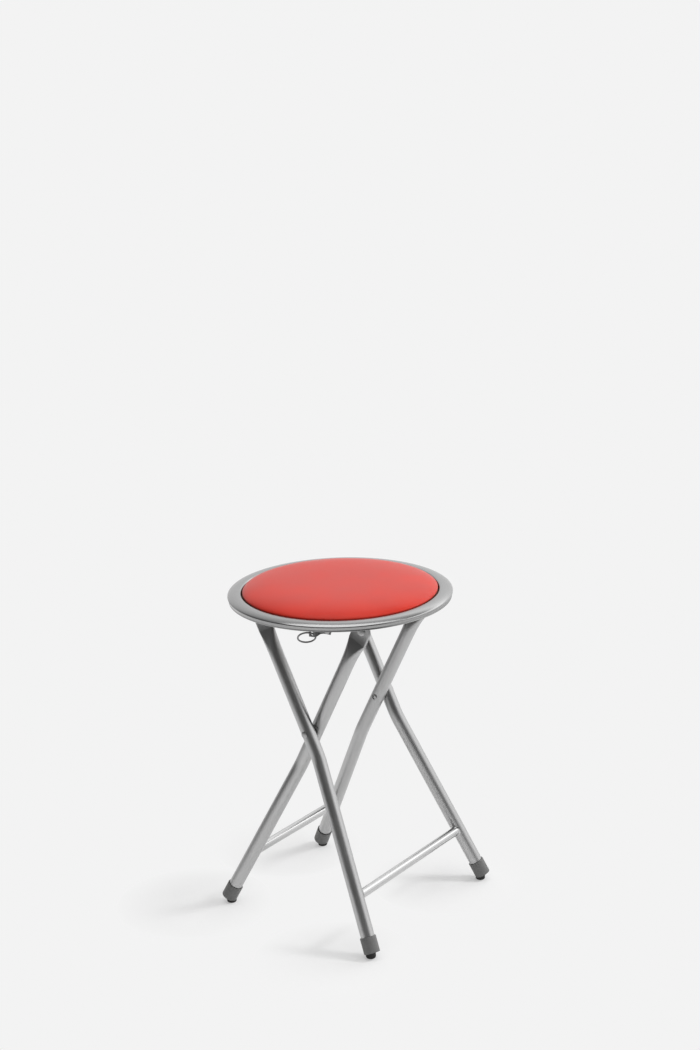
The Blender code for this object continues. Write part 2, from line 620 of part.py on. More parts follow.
def lever_shape():
    """A strip on edge, bent out from the shaft's end to a deeper lip along the seat's edge."""
    half = CATCH_SHEET / 2
    tip_x = CATCH_X - LEVER_REACH
    lip_x = tip_x + LEVER_LIP_W
    root_x = CATCH_X - CATCH_HEAD_R - CATCH_SHEET
    mid = 0.45
    plan = [(CATCH_X + CATCH_HEAD_R + half, LEVER_Y, LEVER_H_DOWN), (root_x, LEVER_Y, LEVER_H_DOWN),
            (root_x + (lip_x - root_x) * mid, LEVER_Y + (LIP_Y - LEVER_Y) * mid, LEVER_H_DOWN),
            (lip_x, LIP_Y, LEVER_LIP_DROP * 0.93), (tip_x, LIP_Y, LEVER_LIP_DROP)]
    line = [(x, y) for x, y, _ in plan]
    edge = bent_sheet(line, CATCH_SHEET)
    count = len(line)
    rings = []
    for k, (_, _, drop) in enumerate(plan):
        ax, ay = edge[k]
        bx, by = edge[2 * count - 1 - k]
        low, high = CATCH_Z - drop, CATCH_Z + LEVER_H_UP
        ay, by = ay + half, by + half
        rings.append([(ax, ay, low), (ax, ay, high), (bx, by, high), (bx, by, low)])
    return loft(rings)


lever = solid("catch_lever", lever_shape(), ZINC, CATCH, 30)
y_hole(lever, Vector((CATCH_X, LEVER_Y, CATCH_Z)), CATCH_SHAFT_R + HOLE_CLEAR, 3 * CATCH_SHEET, CATCH)
y_hole(lever, RING_EYE, RING_HOLE_R, 2 * CATCH_SHEET, CATCH)


def way_out():
    """Direction in which the rod leaves its stop, as the seat sees it when the fold begins."""
    rod = ROD - PIVOT
    arm = ROD - HINGE
    rate = Vector((rod.z - FOLD_RATIO * arm.z, -rod.x + FOLD_RATIO * arm.x))
    return rate.normalized()


def hook_outline():
    """Side view of the hook about the shaft: boss, arm, and a nose beside the rod's way out."""
    away = way_out()
    beside = Vector((-away.y, away.x))
    root = Vector((ROD.x - CATCH_X, ROD.z - CATCH_Z)) + beside * (ROD_R + HOOK_GAP)
    tip = root + away * HOOK_NOSE
    top = HOOK_H / 2
    boss = arc((0, 0), HOOK_BOSS_R, -146, 146, 12)
    return boss + [(root.x, top), tuple(root), tuple(tip), (tip.x + HOOK_H * 0.6, tip.y),
                   (tip.x + HOOK_H * 1.6, -top)]


stand = Matrix(((1, 0, 0, CATCH_X), (0, 0, 1, hook_y), (0, 1, 0, CATCH_Z), (0, 0, 0, 1)))
hook = solid("catch_hook", prism(hook_outline(), stand, HOOK_T), ZINC, CATCH)
y_hole(hook, Vector((CATCH_X, hook_y + HOOK_T / 2, CATCH_Z)), CATCH_SHAFT_R + HOLE_CLEAR, 2 * HOOK_T, CATCH)


def ring_shape():
    """A wire ring through the lip's hole, leaning down to the left."""
    lean = Vector((-math.cos(RING_SLANT), 0, -math.sin(RING_SLANT)))
    tangent = Matrix.Rotation(RING_TURN, 3, lean) @ Vector((0, -1, 0))
    normal = tangent.cross(lean)
    middle = RING_EYE + lean * RING_R
    place = Matrix.Translation(middle) @ normal.to_track_quat("Z", "X").to_matrix().to_4x4()
    wire = [(RING_R + x, y) for x, y in arc((0, 0), RING_WIRE_R, 0, 315, 7)]
    return lathe(wire, 32, place, closed=True)


solid("pull_ring", ring_shape(), ZINC, RING)
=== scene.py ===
# %% [markdown]
# # A round folding stool
# The stool has a red padded seat in a silver rim, two crossed frames of bent tube, and a small catch
# with a pull ring under the seat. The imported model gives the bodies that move. Each step below makes
# finer pieces over it, as surfaces worked out with numpy, and gives them a finish. Lengths are in metres.

# %% Load the frame
import math

import bmesh
import bpy
import numpy as np
from mathutils import Matrix, Vector


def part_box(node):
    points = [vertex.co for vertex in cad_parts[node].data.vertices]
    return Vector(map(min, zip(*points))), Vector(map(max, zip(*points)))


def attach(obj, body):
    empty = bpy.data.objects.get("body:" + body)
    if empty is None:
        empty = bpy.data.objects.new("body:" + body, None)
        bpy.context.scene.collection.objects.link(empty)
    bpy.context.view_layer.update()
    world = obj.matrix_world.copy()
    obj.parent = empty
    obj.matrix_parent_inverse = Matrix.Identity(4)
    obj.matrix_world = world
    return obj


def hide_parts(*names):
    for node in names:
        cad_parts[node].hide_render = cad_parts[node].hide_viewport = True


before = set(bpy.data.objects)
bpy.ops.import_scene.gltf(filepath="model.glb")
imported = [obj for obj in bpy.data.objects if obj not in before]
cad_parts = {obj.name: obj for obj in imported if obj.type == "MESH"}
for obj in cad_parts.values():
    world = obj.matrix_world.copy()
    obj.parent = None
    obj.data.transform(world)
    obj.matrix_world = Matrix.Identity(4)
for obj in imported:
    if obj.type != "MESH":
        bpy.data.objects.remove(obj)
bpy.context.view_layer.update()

scene = bpy.context.scene
scene.view_settings.view_transform = "Standard"

# %% [markdown]
# ## Camera
# The photograph was taken from the front right, a little above the seat. Its camera was found by
# fitting a pinhole to the rim, the legs and the feet. The lens is given for the tall side of the
# frame, and the small roll is kept, because the stool leans by it in the picture.

# %% Camera
AZIMUTH, PITCH, ROLL = (math.radians(a) for a in (35.836, 15.913, -1.718))
FOCAL_PIXELS, TALL_PIXELS, SENSOR_MM = 1964.313, 1050, 36
CAMERA_PLACE = (1.494647, -2.042232, 1.263141)

view_way = Vector((-math.sin(AZIMUTH) * math.cos(PITCH), math.cos(AZIMUTH) * math.cos(PITCH),
                   -math.sin(PITCH)))
level_right = Vector((math.cos(AZIMUTH), math.sin(AZIMUTH), 0))
level_up = level_right.cross(view_way)
right = level_right * math.cos(ROLL) + level_up * math.sin(ROLL)
up = level_up * math.cos(ROLL) - level_right * math.sin(ROLL)

camera_data = bpy.data.cameras.new("photo_camera")
camera_data.sensor_width = SENSOR_MM
camera_data.lens = FOCAL_PIXELS / TALL_PIXELS * SENSOR_MM
camera = bpy.data.objects.new("photo_camera", camera_data)
turn = Matrix((right, up, -view_way)).transposed().to_4x4()
camera.matrix_world = Matrix.Translation(CAMERA_PLACE) @ turn
scene.collection.objects.link(camera)
scene.camera = camera
print("lens", round(camera_data.lens, 2), "mm")

# %% [markdown]
# ## Finishes
# Every finish is built from nodes on Object coordinates, so the grain is in metres and stays with the
# piece. A helper adds one node and joins or sets its sockets, which keeps each recipe short. Values
# that are the same all over are set on the shader itself.

# %% Helpers for node recipes
FAC, LEVEL_A, LEVEL_B, COLOUR_A, COLOUR_B, COLOUR_OUT = 0, 2, 3, 6, 7, 2  # sockets of a Mix node


def add(tree, kind, sockets=None, **settings):
    """Add one node; a socket given as a node output is joined, any other value is set."""
    made = tree.nodes.new(kind)
    for name, value in settings.items():
        setattr(made, name, value)
    for name, value in (sockets or {}).items():
        if isinstance(value, bpy.types.NodeSocket):
            tree.links.new(value, made.inputs[name])
        else:
            made.inputs[name].default_value = value
    return made


def finish(name, **constants):
    """Start a finish: a Principled shader with its constant values, and Object coordinates."""
    material = bpy.data.materials.new(name)
    material.use_nodes = True
    tree = material.node_tree
    shader = tree.nodes["Principled BSDF"]
    for socket, value in constants.items():
        shader.inputs[socket.replace("_", " ")].default_value = value
    place = add(tree, "ShaderNodeTexCoord").outputs["Object"]
    return material, tree, shader, place


def noise(tree, place, scale, detail=3.0, rough=0.5):
    """Noise with features of about 1/scale metres."""
    sockets = {"Vector": place, "Scale": scale, "Detail": detail, "Roughness": rough}
    return add(tree, "ShaderNodeTexNoise", sockets).outputs["Fac"]


def stretched(tree, place, scale):
    """Coordinates scaled by a different amount along each axis."""
    return add(tree, "ShaderNodeMapping", {"Vector": place, "Scale": scale}).outputs["Vector"]


def between(tree, fac, low, high, to_low, to_high):
    """Map a range of a texture to a range of values, held at the ends."""
    sockets = {"Value": fac, "From Min": low, "From Max": high, "To Min": to_low, "To Max": to_high}
    return add(tree, "ShaderNodeMapRange", sockets).outputs["Result"]


def spread(tree, texture, to_low=0, to_high=1):
    """Spread the middle of a noise, where most of its values lie, over a range."""
    return between(tree, texture, 0.3, 0.7, to_low, to_high)


def blend_colour(tree, fac, dark, light):
    """Two colours mixed by a texture."""
    sockets = {FAC: fac, COLOUR_A: (*dark, 1), COLOUR_B: (*light, 1)}
    return add(tree, "ShaderNodeMix", sockets, data_type="RGBA").outputs[COLOUR_OUT]


def blend_level(tree, fac, low, high):
    """One level changed into another by a factor."""
    return add(tree, "ShaderNodeMix", {FAC: fac, LEVEL_A: low, LEVEL_B: high}).outputs[0]


def bump(tree, shader, height, depth, strength=1.0, after=None):
    """Raise the surface by a texture; depth is in metres."""
    sockets = {"Height": height, "Distance": depth, "Strength": strength}
    if after:
        sockets["Normal"] = after
    made = add(tree, "ShaderNodeBump", sockets).outputs["Normal"]
    tree.links.new(made, shader.inputs["Normal"])
    return made


print("a recipe has noise, ranges, blends and bumps to work with")

# %% [markdown]
# ### Silver paint
# The tubes, bars and rim are steel under a silver paint. The paint holds fine flakes, has a faint orange
# peel, and its gloss drifts a little, as on a sprayed part. One recipe makes three coats: satin on the
# tubes, greyer and glossier on the rim, and the brightest on the stretchers.

# %% Silver paint


def silver(name, dark, light, gloss, satin):
    """A metallic paint: flakes between two greys, and a roughness that drifts between two values."""
    material, tree, shader, place = finish(name, Metallic=1.0)
    flake = noise(tree, place, 1400, 2.0)
    cloud = noise(tree, place, 18, 4.0)
    colour = blend_colour(tree, spread(tree, flake), [dark] * 3, [light] * 3)
    tree.links.new(colour, shader.inputs["Base Color"])
    tree.links.new(spread(tree, cloud, gloss, satin), shader.inputs["Roughness"])
    peel = bump(tree, shader, noise(tree, place, 260, 1.0), 0.000012)
    bump(tree, shader, flake, 0.000004, 1.0, peel)
    return material


SILVER = silver("silver_paint", 0.45, 0.52, 0.32, 0.37)
RIM_SILVER = silver("rim_paint", 0.33, 0.39, 0.18, 0.23)
BAR_SILVER = silver("bar_paint", 0.50, 0.58, 0.17, 0.22)
print("paints", SILVER.name, RIM_SILVER.name, BAR_SILVER.name)

# %% [markdown]
# ### Zinc plate and dull steel
# The rivets, rod and brackets are zinc plate with a cloudy bloom. The lever, hook and ring are of a duller
# steel. Little light reaches into a hollow rivet, whose wall is dirty bare steel, so points that a piece
# marks as hollow turn dark: painted shade over a dirty wall.

# %% Zinc plate and dull steel
# painted shade: the near-black grey of a hollow's dirty bare wall
HOLLOW_SHADE_GREY = 0.03


def zinc(name, dark, light):
    """Bare plated steel: a cloudy bloom between two greys, painted shade on a dirty wall inside a hollow."""
    material, tree, shader, place = finish(name, Metallic=1.0)
    bloom = noise(tree, place, 320, 4.0, 0.6)
    plate = blend_level(tree, spread(tree, bloom), dark, light)
    hollow = add(tree, "ShaderNodeAttribute", attribute_name="hollow").outputs["Fac"]
    # painted shade: a marked hollow turns almost black, shade over its dirty bare wall
    tree.links.new(blend_level(tree, hollow, plate, HOLLOW_SHADE_GREY), shader.inputs["Base Color"])
    tree.links.new(spread(tree, bloom, 0.26, 0.42), shader.inputs["Roughness"])
    bump(tree, shader, noise(tree, place, 1800, 2.0), 0.00002)
    return material


ZINC = zinc("zinc_plate", 0.36, 0.48)
DULL = zinc("dull_steel", 0.17, 0.25)
print("metals", ZINC.name, DULL.name)

# %% [markdown]
# ### Red cover
# The cover is a coated cloth. Cells of a Voronoi texture make its fine pebble grain, and a slow noise
# lets the red and the gloss vary a little. Painted wrinkles would not suit a cover as tight as this one.

# %% Red cover
RED, tree, shader, place = finish("red_cover", Specular_IOR_Level=0.14, Sheen_Weight=0.03,
                                  Sheen_Roughness=0.4)
cells = {"Vector": place, "Scale": 950.0}
grain = add(tree, "ShaderNodeTexVoronoi", cells, feature="DISTANCE_TO_EDGE").outputs["Distance"]
cloud = noise(tree, place, 22, 3.0)
colour = blend_colour(tree, spread(tree, cloud), (0.53, 0.030, 0.017), (0.59, 0.035, 0.020))
tree.links.new(colour, shader.inputs["Base Color"])
tree.links.new(spread(tree, cloud, 0.30, 0.36), shader.inputs["Roughness"])
hide = bump(tree, shader, between(tree, grain, 0.0, 0.28, 0, 1), 0.00005, 0.6)
bump(tree, shader, noise(tree, place, 60, 2.0), 0.0002, 0.4, hide)
print("cover", RED.name)

# %% [markdown]
# ### Dark wood
# The board under the pad is dark bare wood. Noise that is stretched along the grain gives streaks, and a
# finer one gives pores.

# %% Dark wood
WOOD, tree, shader, place = finish("bare_wood", Roughness=0.62)
streak = noise(tree, stretched(tree, place, (6.0, 70.0, 70.0)), 5.0, 6.0, 0.62)
pore = noise(tree, stretched(tree, place, (60.0, 900.0, 900.0)), 1.0)
colour = blend_colour(tree, spread(tree, streak), (0.060, 0.036, 0.022), (0.115, 0.072, 0.044))
tree.links.new(colour, shader.inputs["Base Color"])
bump(tree, shader, pore, 0.0001, 0.5)
print("board", WOOD.name)

# %% [markdown]
# ### Grey plastic and black rubber
# The sleeves are moulded grey plastic and the glides are black rubber. Both have a fine speck that shows
# in the colour and as a slight roughness of the surface.

# %% Grey plastic and black rubber
GREY, tree, shader, place = finish("grey_plastic", Specular_IOR_Level=0.45)
speck = noise(tree, place, 700, 3.0)
colour = blend_colour(tree, spread(tree, speck), (0.135, 0.135, 0.133), (0.18, 0.18, 0.178))
tree.links.new(colour, shader.inputs["Base Color"])
tree.links.new(spread(tree, noise(tree, place, 120, 3.0), 0.42, 0.56), shader.inputs["Roughness"])
bump(tree, shader, speck, 0.00005, 0.6)

BLACK, tree, shader, place = finish("black_rubber", Specular_IOR_Level=0.4)
speck = noise(tree, place, 500, 4.0)
colour = blend_colour(tree, spread(tree, speck), (0.010, 0.010, 0.010), (0.026, 0.025, 0.024))
tree.links.new(colour, shader.inputs["Base Color"])
tree.links.new(spread(tree, speck, 0.5, 0.7), shader.inputs["Roughness"])
bump(tree, shader, speck, 0.0001, 0.6)
print("feet", GREY.name, BLACK.name)

# %% [markdown]
# ## From grids to pieces
# A piece is an array of points with rows and columns. The columns always run round and close on
# themselves. Rows that shrink to a point become a pole when doubles are merged, so every shell is
# closed. The piece then stands for its node, rides on its body and takes its slot.

# %% Skins, lathes and eased lines
FINISH_OF = {"silver_paint": SILVER, "zinc_steel": ZINC, "red_leatherette": RED, "plywood": WOOD,
             "grey_plastic": GREY, "black_rubber": BLACK}


def skin(name, points, ring=False):
    """Join a (rows, columns, 3) grid with quads; columns wrap round, and rows too where ring is set."""
    rows, columns = points.shape[:2]
    i, j = np.meshgrid(np.arange(rows if ring else rows - 1), np.arange(columns), indexing="ij")
    k, n = (i + 1) % rows, (j + 1) % columns
    corners = [i * columns + j, i * columns + n, k * columns + n, k * columns + j]
    quads = np.stack(corners, -1).reshape(-1, 4)
    mesh = bpy.data.meshes.new(name)
    mesh.from_pydata(points.reshape(-1, 3).tolist(), [], quads.tolist())
    work = bmesh.new()
    work.from_mesh(mesh)
    bmesh.ops.remove_doubles(work, verts=work.verts, dist=1e-6)
    bmesh.ops.recalc_face_normals(work, faces=work.faces)
    if work.calc_volume(signed=True) < 0:
        bmesh.ops.reverse_faces(work, faces=work.faces)
    work.to_mesh(mesh)
    work.free()
    obj = bpy.data.objects.new(name, mesh)
    scene.collection.objects.link(obj)
    return obj


def settle(obj, node, body, slot, sharp=38, coat=None):
    """Give a piece its finish, its body and the node that it stands for."""
    obj.data.materials.append(coat or FINISH_OF[slot])
    obj.data.shade_smooth()
    obj.data.set_sharp_from_angle(angle=math.radians(sharp))
    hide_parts(node)
    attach(obj, body)
    low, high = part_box(node)
    cad = np.array([low, high])
    shown = np.array([v[:] for v in obj.bound_box])
    away = np.abs(np.array([shown.min(0), shown.max(0)]) - cad).max()
    print(f"{obj.name}: {len(obj.data.polygons)} faces, box within {away * 1000:.2f} mm of {node}")
    return obj


def unit(way):
    """A direction of length one."""
    way = np.asarray(way, float)
    return way / np.linalg.norm(way)


def turned(profile, sides, start, way):
    """Turn (radius, height) points about an axis.

    P = start + height * way + radius * (cos a, sin a), where the last pair lies across the axis.
    """
    way = unit(way)
    side = unit(np.cross(way, (1.0, 0, 0) if abs(way[0]) < 0.9 else (0, 0, 1.0)))
    other = np.cross(way, side)
    angle = np.linspace(0, 2 * np.pi, sides, endpoint=False)
    rim = np.cos(angle)[:, None] * side + np.sin(angle)[:, None] * other
    radius, height = np.asarray(profile, float).T
    return np.asarray(start, float) + height[:, None, None] * way + radius[:, None, None] * rim


def eased(corners, ease, steps=6):
    """Round the corners of an open line, with A and B at 'ease' either side of each corner C.

    P = (1-t)^2 A + 2t(1-t) C + t^2 B. A short side limits the ease to just under half of it.
    """
    corners = np.asarray(corners, float)
    before, after = np.diff(corners, axis=0)[:-1], np.diff(corners, axis=0)[1:]
    reach = [np.minimum(ease, np.linalg.norm(leg, axis=1) * 0.49)[:, None] for leg in (before, after)]
    ends = [leg / np.linalg.norm(leg, axis=1)[:, None] * r for leg, r in zip((before, after), reach)]
    middle = corners[1:-1]
    t = np.linspace(0, 1, steps)[:, None, None]
    curve = (1 - t) ** 2 * (middle - ends[0]) + 2 * t * (1 - t) * middle + t ** 2 * (middle + ends[1])
    curve = curve.transpose(1, 0, 2).reshape(-1, corners.shape[1])
    return np.concatenate([corners[:1], curve, corners[-1:]])


def circle(middle, radius, start, end, steps):
    """Points of an arc, angles in degrees; radius may be (across, up) for an ellipse."""
    angle = np.radians(np.linspace(start, end, steps))
    return np.asarray(middle) + np.asarray(radius) * np.stack([np.cos(angle), np.sin(angle)], -1)


def points_of(mesh):
    """All points of a mesh as one array."""
    flat = np.empty(len(mesh.vertices) * 3, np.float32)
    mesh.vertices.foreach_get("co", flat)
    return flat.reshape(-1, 3).astype(float)


print("finishes by slot", {slot: material.name for slot, material in FINISH_OF.items()})

# %% [markdown]
# ## Seat rim
# The rim is one ring of pressed sheet steel: a ledge that carries the board, an inner wall, a rounded
# crest beside the pad, a long brow that falls to a tight outer edge, and a skirt set back below it. A
# torus with a bevel would miss the ledge and the step. So its line is written once, thickened to the
# hollow side, and turned about the seat's middle.

# %% Rim
SEAT_R, RIM_Z, RIM_W, RIM_H = 0.1525, 0.4424, 0.0191, 0.0108
RIM_SHEET, LEDGE_W, LEDGE_RISE, LEDGE_EASE = 0.0010, 0.0074, 0.0015, 0.0008
EDGE_H, STEP, SKIRT_H, CREST_R = 0.0064, 0.0014, 0.0020, 0.0030
BROW_BACK, HEM_R = 0.0042, 0.0006
RIM_IN = SEAT_R - RIM_W


def rim_line():
    """Ledge, inner wall, crest, brow, step and hem, as (radius, height).

    The crest and the hem are arcs, the brow is part of an ellipse, and the step is half a cosine wave.
    """
    ledge = eased([(RIM_IN - LEDGE_W, LEDGE_RISE), (RIM_IN, LEDGE_RISE), (RIM_IN, RIM_H - CREST_R)],
                  LEDGE_EASE)
    crest = circle((RIM_IN + CREST_R, RIM_H - CREST_R), CREST_R, 180, 100, 14)[1:]
    across = RIM_W - BROW_BACK
    brow = circle((SEAT_R - across, EDGE_H), (across, RIM_H - EDGE_H), 82, 0, 40)
    s = np.linspace(0, 1, 22)[1:]
    step = np.stack([SEAT_R - STEP * (1 - np.cos(np.pi * s)) / 2, EDGE_H + (SKIRT_H - EDGE_H) * s], -1)
    hem = circle((SEAT_R - STEP - HEM_R, HEM_R), HEM_R, 0, -80, 8)
    return np.concatenate([ledge, crest, brow, step, hem])


def thickened(line, thick):
    """A closed section: the line, then the same line moved along its normals to the right, backwards."""
    way = np.gradient(line, axis=0)
    normal = np.stack([way[:, 1], -way[:, 0]], -1)
    normal /= np.linalg.norm(normal, axis=1)[:, None]
    return np.concatenate([line, (line + normal * thick)[::-1]])


section = thickened(rim_line(), RIM_SHEET) + (0, RIM_Z)
rim = skin("rim_shell", turned(section, 224, (0, 0, 0), (0, 0, 1)), ring=True)
settle(rim, "seat_rim", "seat", "silver_paint", 50, RIM_SILVER)

# %% [markdown]
# ## Pad
# The pad is foam under a tight coated cloth. A flattened ball would be too round at the edge, so the
# start is a closed crowned form, with a steep shoulder and a tucked foot, a little lower than the real
# pad. Its rows lie closer near the edge, where it bends most.

# %% Pad before it swells
BOARD_T, GAP = 0.0060, 0.0003
PAD_MARGIN, PAD_TUCK, PAD_SIDE_H, PAD_CROWN = 0.0009, 0.0030, 0.0026, 0.0145
PAD_Z = RIM_Z + LEDGE_RISE + BOARD_T + 2 * GAP
PAD_R = RIM_IN - PAD_MARGIN
SWELL = 0.0010
TINY = 1e-9


def pad_line(crown, full=4.8, shoulder=0.55):
    """Half section: flat foot, quarter-round side, then height = side + rise * (1 - share^full)^shoulder."""
    share = np.concatenate([1 - np.linspace(0, 1, 9)[1:] ** 2 * 0.1, np.linspace(0.9, 0, 28)[1:]])
    rise = (crown - PAD_SIDE_H) * (1 - share ** full) ** shoulder
    top = np.stack([PAD_R * share, PAD_SIDE_H + rise], -1)
    bend = np.radians(np.linspace(0, 90, 6))
    side = np.stack([PAD_R - PAD_TUCK * (1 - np.sin(bend)), PAD_SIDE_H * (1 - np.cos(bend))], -1)
    foot = np.stack([np.linspace(0, PAD_R - PAD_TUCK, 14)[:-1], np.zeros(13)], -1)
    return np.concatenate([foot, side, top]) + (0, PAD_Z)


pad = skin("pad_cover", turned(pad_line(PAD_CROWN - SWELL), 96, (0, 0, 0), (0, 0, 1)))
print("pad", len(pad.data.vertices), "points")

# %% [markdown]
# ### Swelling
# A cloth simulation blows the form up with air pressure while its foot is held, as foam fills a cover.
# The whole movement is scaled to one millimetre and evened round each ring, so the tight cover shows no
# folds. The side is kept clear of the rim, so the dark gap round the pad stays.

# %% Swell the pad
SWELL_FRAMES, AIR_PRESSURE = 20, 4.0


def swell(obj, cap, held_below):
    """Blow the cover up for some frames; the movement is scaled so that no point goes further than cap."""
    rest = points_of(obj.data)
    held = obj.vertex_groups.new(name="held")
    held.add(np.flatnonzero(rest[:, 2] < held_below).tolist(), 1.0, "REPLACE")
    cloth = obj.modifiers.new("swell", "CLOTH")
    cloth.settings.vertex_group_mass = "held"
    cloth.settings.use_pressure = True
    cloth.settings.uniform_pressure_force = AIR_PRESSURE
    cloth.settings.effector_weights.gravity = 0
    cloth.point_cache.frame_start, cloth.point_cache.frame_end = 1, SWELL_FRAMES
    for step in range(1, SWELL_FRAMES + 1):
        scene.frame_set(step)
    shaped = obj.evaluated_get(bpy.context.evaluated_depsgraph_get()).to_mesh()
    move = points_of(shaped) - rest
    move *= min(1, cap / np.linalg.norm(move, axis=1).max())
    obj.modifiers.remove(cloth)
    scene.frame_set(1)
    obj.vertex_groups.remove(held)
    return rest, move


def evened(rest, move):
    """The mean movement of each ring of the pad, outwards and up, so that a tight cover shows no folds."""
    reach = np.hypot(rest[:, 0], rest[:, 1])
    place = np.round(np.stack([reach, rest[:, 2]], -1), 5)
    ring = np.unique(place, axis=0, return_inverse=True)[1].ravel()
    out_way = rest[:, :2] / np.maximum(reach, TINY)[:, None]
    count = np.bincount(ring)
    outwards = (np.bincount(ring, (move[:, :2] * out_way).sum(1)) / count)[ring]
    upwards = (np.bincount(ring, move[:, 2]) / count)[ring]
    return np.column_stack([out_way * outwards[:, None], upwards])


rest, move = swell(pad, SWELL, PAD_Z + PAD_SIDE_H)
shaped = rest + evened(rest, move)
reach = np.hypot(shaped[:, 0], shaped[:, 1])
shaped[:, :2] *= np.minimum(1, PAD_R / np.maximum(reach, TINY))[:, None]
pad.data.vertices.foreach_set("co", shaped.astype(np.float32).ravel())
print("pad rose", round(float(move[:, 2].max()) * 1000, 2), "mm")
finer = pad.modifiers.new("finer", "SUBSURF")
finer.levels = finer.render_levels = 1
settle(pad, "seat_pad", "seat", "red_leatherette", 60)

# %% [markdown]
# ## Lines of the legs
# Each leg is one steel tube, bent once below the pivot. Its lines are worked out first, because its foot
# and its stretcher need them too: the hole for the pin at the top, the knee, and the end in the sleeve.

# %% Lines that a leg, its foot and its stretcher share
TUBE_R, TUBE_WALL, FLAT_T = 0.0095, 0.0012, 0.0034
PIVOT = np.array([0.0081, 0, 0.2771])
TOP_Z, CAP_END_Z, WASHER_T = 0.4276478, 0.0081, 0.0016
HINGE_X, ROD_X = 0.08514075, -0.06305875
INNER_Y = 0.0714005
OUTER_Y = INNER_Y + 2 * TUBE_R + WASHER_T + 2 * GAP
# each frame: x of the top hole, y of the tube, drop from pivot to knee, y of the foot
TUBES = {"inner": (HINGE_X, INNER_Y, 0.0580, 0.1097), "outer": (ROD_X, OUTER_Y, 0.0337, 0.1387)}
SIDES = {"near": -1, "far": 1}


def leg_lines(top_x, tube_y, knee_drop, foot_y, side):
    """Hole, knee and end of one leg, with the ways of its upper and its lower run."""
    hole = np.array([top_x, side * tube_y, TOP_Z])
    climb = unit(hole - (PIVOT + (0, side * tube_y, 0)))
    drops = np.array([-knee_drop, CAP_END_Z - PIVOT[2]])[:, None]
    aside = np.array([[0, side * tube_y, 0], [0, side * foot_y, 0]])
    knee, end = PIVOT * (1, 0, 1) + climb * (drops / climb[2]) + aside
    return dict(hole=hole, up=climb, knee=knee, end=end, low=unit(knee - end))


LEGS = {f"{name}_leg_{word}": leg_lines(*sizes, side)
        for name, sizes in TUBES.items() for word, side in SIDES.items()}
print("leg lean", {k: round(math.degrees(math.acos(v["up"][2])), 2) for k, v in LEGS.items()})

# %% [markdown]
# ## Bent tubes
# The tube is pressed flat at the top for its pin. A round curve bevel can't flatten, so a leg is a row
# of flat ovals carried along its line. An oval with half thickness b has the same girth as the round
# tube when its half width is b + pi*(R - b)/2, so the metal keeps its length as it flattens.

# %% Tubes
FLAT_BELOW, PRESS_L, PRESS_STEEP = 0.0165, 0.048, 2.6
BEND_R, TUBE_UP = 0.12, 0.0033
FLAT_W = math.pi * (TUBE_R - TUBE_WALL / 2) - math.pi * (FLAT_T - TUBE_WALL) / 2 + FLAT_T
BODY_OF = {"inner": "inner_frame", "outer": "outer_frame"}


def oval(half_w, half_t, sides):
    """Points at even steps round flat ovals of several widths at once.

    Each oval is two half circles joined by straights. The lower half mirrors the upper one.
    """
    run = np.maximum(half_w - half_t, 0)[:, None]
    quarter = (np.pi / 2 * half_t)[:, None]
    girth = 4 * (run + quarter)
    along = girth * np.linspace(0, 1, sides, endpoint=False)
    flip = np.where(along > girth / 2, -1.0, 1.0)
    along = np.minimum(along, girth - along)
    bend = np.clip(np.where(along < quarter, along, along - 2 * run), 0, None) / half_t[:, None]
    straight = (along >= quarter) & (along <= quarter + 2 * run)
    wide = np.where(straight, run - (along - quarter),
                    np.sign(np.cos(bend)) * run + half_t[:, None] * np.cos(bend))
    thin = np.where(straight, half_t[:, None], half_t[:, None] * np.sin(bend))
    return np.stack([wide, flip * thin], -1)


def spun(vector, axis, angle):
    """Turn a vector about an axis by several angles (Rodrigues' formula)."""
    c, s = np.cos(angle)[:, None], np.sin(angle)[:, None]
    return vector * c + np.cross(axis, vector) * s + axis * (vector @ axis) * (1 - c)


def leg_points(leg, sides=48):
    """Rings up a leg: foot, knee on an arc of BEND_R, upper run, pressed length and a round flat end."""
    climb, low, hole = leg["up"], leg["low"], leg["hole"]
    across = np.array([0, 1.0, 0])
    wide = unit(np.cross(across, climb))
    axis = unit(np.cross(low, climb))
    angle = math.acos(float(np.clip(low @ climb, -1, 1)))
    bend = np.linspace(0, angle, 22)
    start = leg["knee"] - low * BEND_R * math.tan(angle / 2)
    centre = start + np.cross(axis, low) * BEND_R
    knee = centre + spun(start - centre, axis, bend)
    knee_wide, knee_across = spun(wide, axis, bend - angle), spun(across, axis, bend - angle)
    press = np.concatenate([np.linspace(0, 0.5, 10), np.linspace(0.5, 1, 34)[1:]])
    thin = TUBE_R - (TUBE_R - FLAT_T / 2) * press ** PRESS_STEEP
    up_to = hole - climb * (FLAT_BELOW + PRESS_L)
    tip = np.radians(np.linspace(0, 86, 18))
    half_w = FLAT_W / 2
    foot = [leg["end"] + low * TUBE_UP]
    middle = np.concatenate([foot, knee, up_to + climb * (PRESS_L * press)[:, None],
                             hole + climb * (half_w * np.sin(tip))[:, None]])
    round_part, flat_part = len(foot) + len(knee), len(press) + len(tip)
    a = np.concatenate([knee_wide[:1], knee_wide, np.repeat(wide[None], flat_part, 0)])
    b = np.concatenate([knee_across[:1], knee_across, np.repeat(across[None], flat_part, 0)])
    w = np.concatenate([np.full(round_part, TUBE_R), thin + np.pi / 2 * (TUBE_R - thin),
                        half_w * np.cos(tip)])
    t = np.concatenate([np.full(round_part, TUBE_R), thin, np.full(len(tip), FLAT_T / 2)])
    flat = oval(np.maximum(w, t), t, sides)
    rings = middle[:, None] + flat[..., :1] * a[:, None] + flat[..., 1:] * b[:, None]
    poles = [np.repeat(rings[k].mean(0)[None], sides, 0)[None] for k in (0, -1)]
    return np.concatenate([poles[0], rings, poles[1]])


for name, leg in LEGS.items():
    tube = skin(name.replace("leg", "tube"), leg_points(leg))
    settle(tube, name, BODY_OF[name[:5]], "silver_paint", 30)

